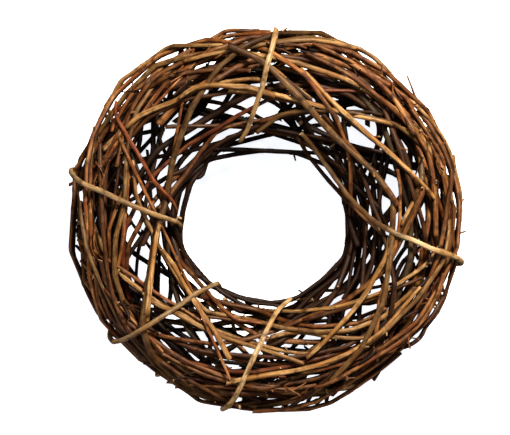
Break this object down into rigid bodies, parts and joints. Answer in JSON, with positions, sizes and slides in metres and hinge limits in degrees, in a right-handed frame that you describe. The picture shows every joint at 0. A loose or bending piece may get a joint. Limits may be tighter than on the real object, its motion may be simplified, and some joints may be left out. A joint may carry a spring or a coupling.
{
  "type": "wreath frame",
  "caption": "Ring-shaped wreath base of willow rods wound over and under each other and held by slanting willow ties, for flowers and foliage.",
  "frame": {"origin": "under the middle of the wreath's outline, on the table that it lies on", "axes": "+Z along the ring's axis, out of the side that is looked at; +Y towards the side that hangs uppermost on a wall"},
  "size_m": [0.304, 0.2914, 0.1004],
  "materials": {
    "bark_sienna": "satin bark",
    "bark_ochre": "satin bark",
    "bark_umber": "matte dark bark",
    "bark_russet": "satin bark",
    "bark_grey": "matte weathered bark",
    "tie_straw": "satin pale bark"
  },
  "bodies": {
    "root": {"core_rod_1": "bark_umber", "core_rod_2": "bark_umber", "core_rod_3": "bark_umber", "core_rod_4": "bark_grey", "back_rod_1": "bark_sienna", "back_rod_2": "bark_ochre", "back_rod_3": "bark_sienna", "back_rod_4": "bark_russet", "back_rod_5": "bark_umber", "back_rod_6": "bark_ochre", "back_rod_7": "bark_sienna", "inner_rod_1": "bark_umber", "inner_rod_2": "bark_sienna", "inner_rod_3": "bark_umber", "inner_rod_4": "bark_umber", "inner_rod_5": "bark_umber", "inner_rod_6": "bark_sienna", "inner_rod_7": "bark_sienna", "inner_rod_8": "bark_umber", "middle_rod_1": "bark_grey", "middle_rod_2": "bark_russet", "middle_rod_3": "bark_sienna", "middle_rod_4": "bark_grey", "middle_rod_5": "bark_sienna", "middle_rod_6": "bark_ochre", "middle_rod_7": "bark_ochre", "middle_rod_8": "bark_sienna", "middle_rod_9": "bark_russet", "middle_rod_10": "bark_sienna", "middle_rod_11": "bark_ochre", "middle_rod_12": "bark_ochre", "middle_rod_13": "bark_umber", "middle_rod_14": "bark_ochre", "middle_rod_15": "bark_sienna", "middle_rod_16": "bark_umber", "outer_rod_1": "bark_sienna", "outer_rod_2": "bark_sienna", "outer_rod_3": "bark_ochre", "outer_rod_4": "bark_sienna", "outer_rod_5": "bark_ochre", "outer_rod_6": "bark_sienna", "outer_rod_7": "bark_sienna", "outer_rod_8": "bark_ochre", "outer_rod_9": "bark_sienna", "outer_rod_10": "bark_sienna", "outer_rod_11": "bark_ochre", "outer_rod_12": "bark_sienna", "outer_rod_13": "bark_ochre", "outer_rod_14": "bark_sienna", "outer_rod_15": "bark_sienna", "outer_rod_16": "bark_sienna", "outer_rod_17": "bark_ochre", "top_rod_1": "bark_ochre", "top_rod_2": "bark_ochre", "red_shoot": "bark_russet", "tie_top": "tie_straw", "tie_left": "tie_straw", "tie_low_left": "tie_straw", "tie_bottom": "tie_straw", "tie_right": "tie_straw"}
  },
  "joints": []
}
